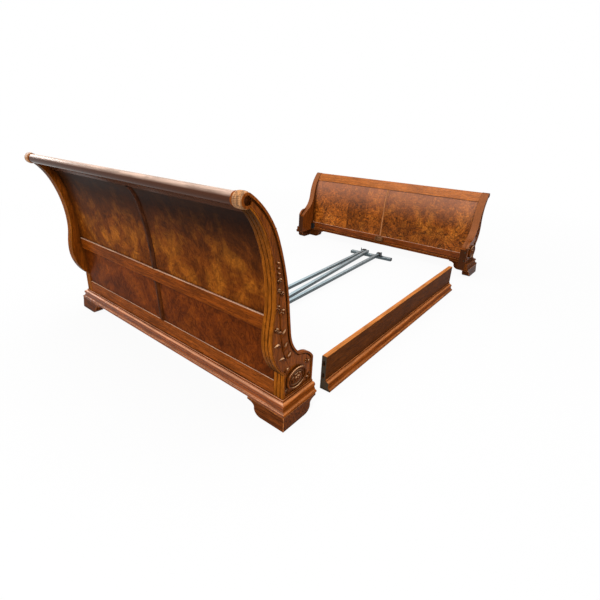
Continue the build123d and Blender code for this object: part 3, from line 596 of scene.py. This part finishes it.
def carve_block(relief):
    """Oval medallion on the block, with two cords and a rosette, and a spray of leaves at each corner."""
    middle, plaque_edge, plaque_face = (0.122, 0.205), 0.011, 0.007
    relief.stem(oval(middle, 0.0625, 0.0465), 0.0044, 0.0042, plaque_edge, True)
    relief.stem(oval(middle, 0.046, 0.032), 0.0036, 0.0052, plaque_face, True)
    relief.flower(middle, 0.04, 8, 0.008, plaque_face, 0.7)
    relief.flower(middle, 0.019, 6, 0.007, plaque_face + 0.005, 0.8)
    corners = (((0.042, 0.249), 0.7), ((0.031, 0.164), -0.75), ((0.18, 0.164), -2.3), ((0.184, 0.264), 2.1))
    for corner, spray in corners:
        for fan in (-0.62, 0.0, 0.62):
            length = 0.03 if fan else 0.036
            reach = Vector((cos(spray + pi + fan), sin(spray + pi + fan))) * length
            relief.leaf(Vector(corner) - 0.45 * reach, Vector(corner) + 0.55 * reach, 0.013, 0.0095, 0.1)


def carve_vine(relief, line, leaves, flowers, beads):
    """A meandering stem with leaves to both sides, open flowers and a string of beads at its top."""
    bead_size, bead_loss, bead_height = 0.0066, 0.0016, 0.0105
    relief.stem(smooth_line(line, 8), 0.003, 0.006)
    for base, tip, width in leaves:
        relief.leaf(base, tip, 1.2 * width, 0.011, 0.14)
    for centre, radius in flowers:
        relief.flower(centre, radius, 6, 0.01)
    first, last, count = beads
    for n in range(count):
        spot = Vector(first).lerp(Vector(last), n / (count - 1))
        relief.dome(spot, bead_size - bead_loss * n / count, bead_height)


# The vines: a stem's points, leaves as (base, tip, width), flowers as (centre, radius), and a row of beads
head_vine = (
    [(0.16, 0.268), (0.187, 0.315), (0.21, 0.37), (0.224, 0.43), (0.232, 0.485), (0.236, 0.535),
     (0.243, 0.585), (0.244, 0.635), (0.248, 0.688)],
    (((0.2, 0.323), (0.236, 0.342), 0.016), ((0.186, 0.328), (0.164, 0.352), 0.013),
     ((0.232, 0.402), (0.27, 0.416), 0.016), ((0.217, 0.374), (0.188, 0.412), 0.02),
     ((0.231, 0.444), (0.203, 0.475), 0.02), ((0.229, 0.462), (0.252, 0.474), 0.011)),
    (((0.259, 0.488), 0.0115), ((0.228, 0.553), 0.018), ((0.255, 0.58), 0.0155), ((0.232, 0.635), 0.01),
     ((0.253, 0.652), 0.01), ((0.248, 0.691), 0.013)),
    ((0.253, 0.72), (0.259, 0.764), 3))
foot_vine = (
    [(0.17, 0.292), (0.2, 0.335), (0.212, 0.385), (0.214, 0.43), (0.216, 0.475)],
    (((0.195, 0.328), (0.222, 0.316), 0.012), ((0.186, 0.315), (0.168, 0.34), 0.011),
     ((0.207, 0.36), (0.184, 0.382), 0.013), ((0.212, 0.385), (0.236, 0.378), 0.013),
     ((0.213, 0.42), (0.195, 0.44), 0.011), ((0.214, 0.44), (0.232, 0.432), 0.01)),
    (((0.217, 0.487), 0.011),),
    ((0.219, 0.503), (0.226, 0.535), 6))
for side, hand in sides:
    for board, vine in (("headboard", head_vine), ("footboard", foot_vine)):
        relief = end_face(board, hand)
        carve_block(relief)
        carve_vine(relief, *vine)
        relief.finish(f"{board}_{side}_carving", board, "carved_wood", carved_wood)


def carve_collar(hand):
    """Twisted band round the back of a headboard's scroll, a little more than half way round it."""
    centre = Vector((0, head_face + 0.418, 1.012))
    start, length, lobes, half_angle = half_width - 0.002, 0.044, 15, 102
    turn_steps, steps, border = 120, 16, 2
    band_radius, edge_radius = 0.0262, 0.0255
    relief = Relief(lambda along, turn, radius: centre + Vector((
        hand * (start - along), radius * cos(turn), radius * sin(turn))), Vector((0, 1, 0)))
    rows = []
    for i in range(turn_steps + 1):
        t = i / turn_steps
        turn = radians(-half_angle + 2 * half_angle * t)
        row = []
        for j in range(steps + 1):
            s = j / steps
            swell = sin(pi * s) ** 0.35
            twist = abs(sin(lobes * pi * t + 1.1 * pi * s)) ** 0.7
            rise = 0.0007 + swell * (0.0011 + 0.0018 * (twist if border < j < steps - border else 0.75))
            row.append((length * s, turn, band_radius + rise if 0 < j < steps else edge_radius))
        rows.append(row)
    relief.sheet(rows)
    return relief


for side, hand in sides:
    piece = carve_collar(hand).finish(
        f"headboard_{side}_collar_carving", "headboard", "carved_wood", collar_wood)
    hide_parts("headboard_collars")


def stile_bead():
    """Thin rounded bead over the joint of the footboard's panels, on the bed side."""
    half_across, height, sunk, inset, steps = 0.0065, 0.0055, 0.0005, 0.002, 24
    mesh = nodes["footboard_stile"].data
    tree = BVHTree.FromPolygons([v.co for v in mesh.vertices], [tuple(p.vertices) for p in mesh.polygons])
    low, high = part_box("footboard_stile")
    heights = [low.z + inset + (high.z - low.z - 2 * inset) * n / steps for n in range(steps + 1)]
    face = {z: tree.ray_cast(Vector((0, high.y + 1, z)), Vector((0, -1, 0)))[0].y for z in heights}
    relief = Relief(lambda across, up, proud: Vector((across, face[up] + proud, up)), Vector((0, 1, 0)))
    relief.sheet([
        [(half_across * cos(turn), z, height * sin(turn) - sunk) for turn in half_turn] for z in heights])
    relief.finish("footboard_stile_bead", "footboard", "lacquered_wood", bead_wood)


stile_bead()


# Floor, light and camera
def seen(shader, first, second, share):
    """A mix of two shaders, the second taking this share of camera, glossy and transmission rays."""
    path = shader.tree.nodes.new("ShaderNodeLightPath").outputs
    rays = shader.math("MAXIMUM", path["Is Camera Ray"], path["Is Glossy Ray"])
    rays = shader.math("MAXIMUM", rays, path["Is Transmission Ray"])
    return shader.add("MixShader", shader.math("MULTIPLY", rays, share), first, second)


def stage_floor():
    """A pale floor just under the feet, which shows soft shadows near the part and is white far away."""
    reach, drop, near, far, near_share = 30.0, 0.0005, 1.8, 5.0, 0.92
    corners = ((-1, -1), (1, -1), (1, 1), (-1, 1))
    mesh = bpy.data.meshes.new("floor")
    mesh.from_pydata([(reach * x, reach * y, -drop) for x, y in corners], [], [(0, 1, 2, 3)])
    floor = bpy.data.objects.new("floor", mesh)
    scene.collection.objects.link(floor)
    shader = Shader(bpy.data.materials.new("pale_floor"))
    pale, white = shader.add("BsdfDiffuse", Color=(0.7, 0.7, 0.7, 1)), shader.add("Emission")
    share = shader.fade(shader.measure("LENGTH", shader.place()), near, far, near_share)
    mesh.materials.append(shader.finish(seen(shader, pale, white, share)))


def studio_world():
    """A white backdrop, and for the light itself a sky that is grey low down and white overhead."""
    shader = Shader(bpy.data.worlds.new("studio"), "OutputWorld")
    up = shader.split(shader.source("TexCoord", "Generated"))[2]
    sky = shader.add("Background", Color=shader.ramp(up, (0.0, (0.12, 0.12, 0.125)), (0.9, grey(1))))
    backdrop = shader.add("Background", Color=(1, 1, 1, 1))
    scene.world = shader.finish(seen(shader, sky, backdrop, 1.0))


def soft_light(name, place, aim, size, power):
    data = bpy.data.lights.new(name, "AREA")
    data.shape = "SQUARE"
    data.size = size
    data.energy = power
    lamp = bpy.data.objects.new(name, data)
    lamp.location = place
    lamp.rotation_euler = (Vector(aim) - Vector(place)).to_track_quat("-Z", "Y").to_euler()
    scene.collection.objects.link(lamp)


stage_floor()
studio_world()
# Each light has its place, its aim, its size in metres and its power in watts
soft_light("overhead", (0.0, 0.2, 4.6), (0, 0, 0.3), 4.5, 90.0)
soft_light("key", (-1.6, 4.3, 3.6), (-0.2, 0.6, 0.5), 1.0, 110.0)
soft_light("end", (-4.2, 2.2, 2.6), (-0.9, 1.2, 0.4), 0.4, 10.0)
soft_light("side", (4.4, 1.6, 2.0), (0.4, 1.3, 1.0), 1.4, 45.0)

# The camera that matches the photo
azimuth, pitch, roll = radians(41.59), radians(22.23), radians(0.74)
camera_place = Vector((-1.7422, 2.3346, 1.2657))
film_width, focal_length, shift_across, shift_up = 36.0, 24.51, 0.058, -0.0345
ahead = Vector((sin(azimuth) * cos(pitch), -cos(azimuth) * cos(pitch), -sin(pitch)))
across = ahead.cross(Vector((0, 0, 1))).normalized()
upward = across.cross(ahead)
right = across * cos(roll) + upward * sin(roll)
top = upward * cos(roll) - across * sin(roll)
camera = bpy.data.objects.new("camera", bpy.data.cameras.new("camera"))
camera.matrix_world = Matrix.Translation(camera_place) @ Matrix((right, top, -ahead)).transposed().to_4x4()
camera.data.sensor_width = film_width
camera.data.lens = focal_length
camera.data.shift_x = shift_across
camera.data.shift_y = shift_up
scene.collection.objects.link(camera)
scene.camera = camera
scene.view_settings.view_transform = "Standard"

bpy.context.view_layer.update()
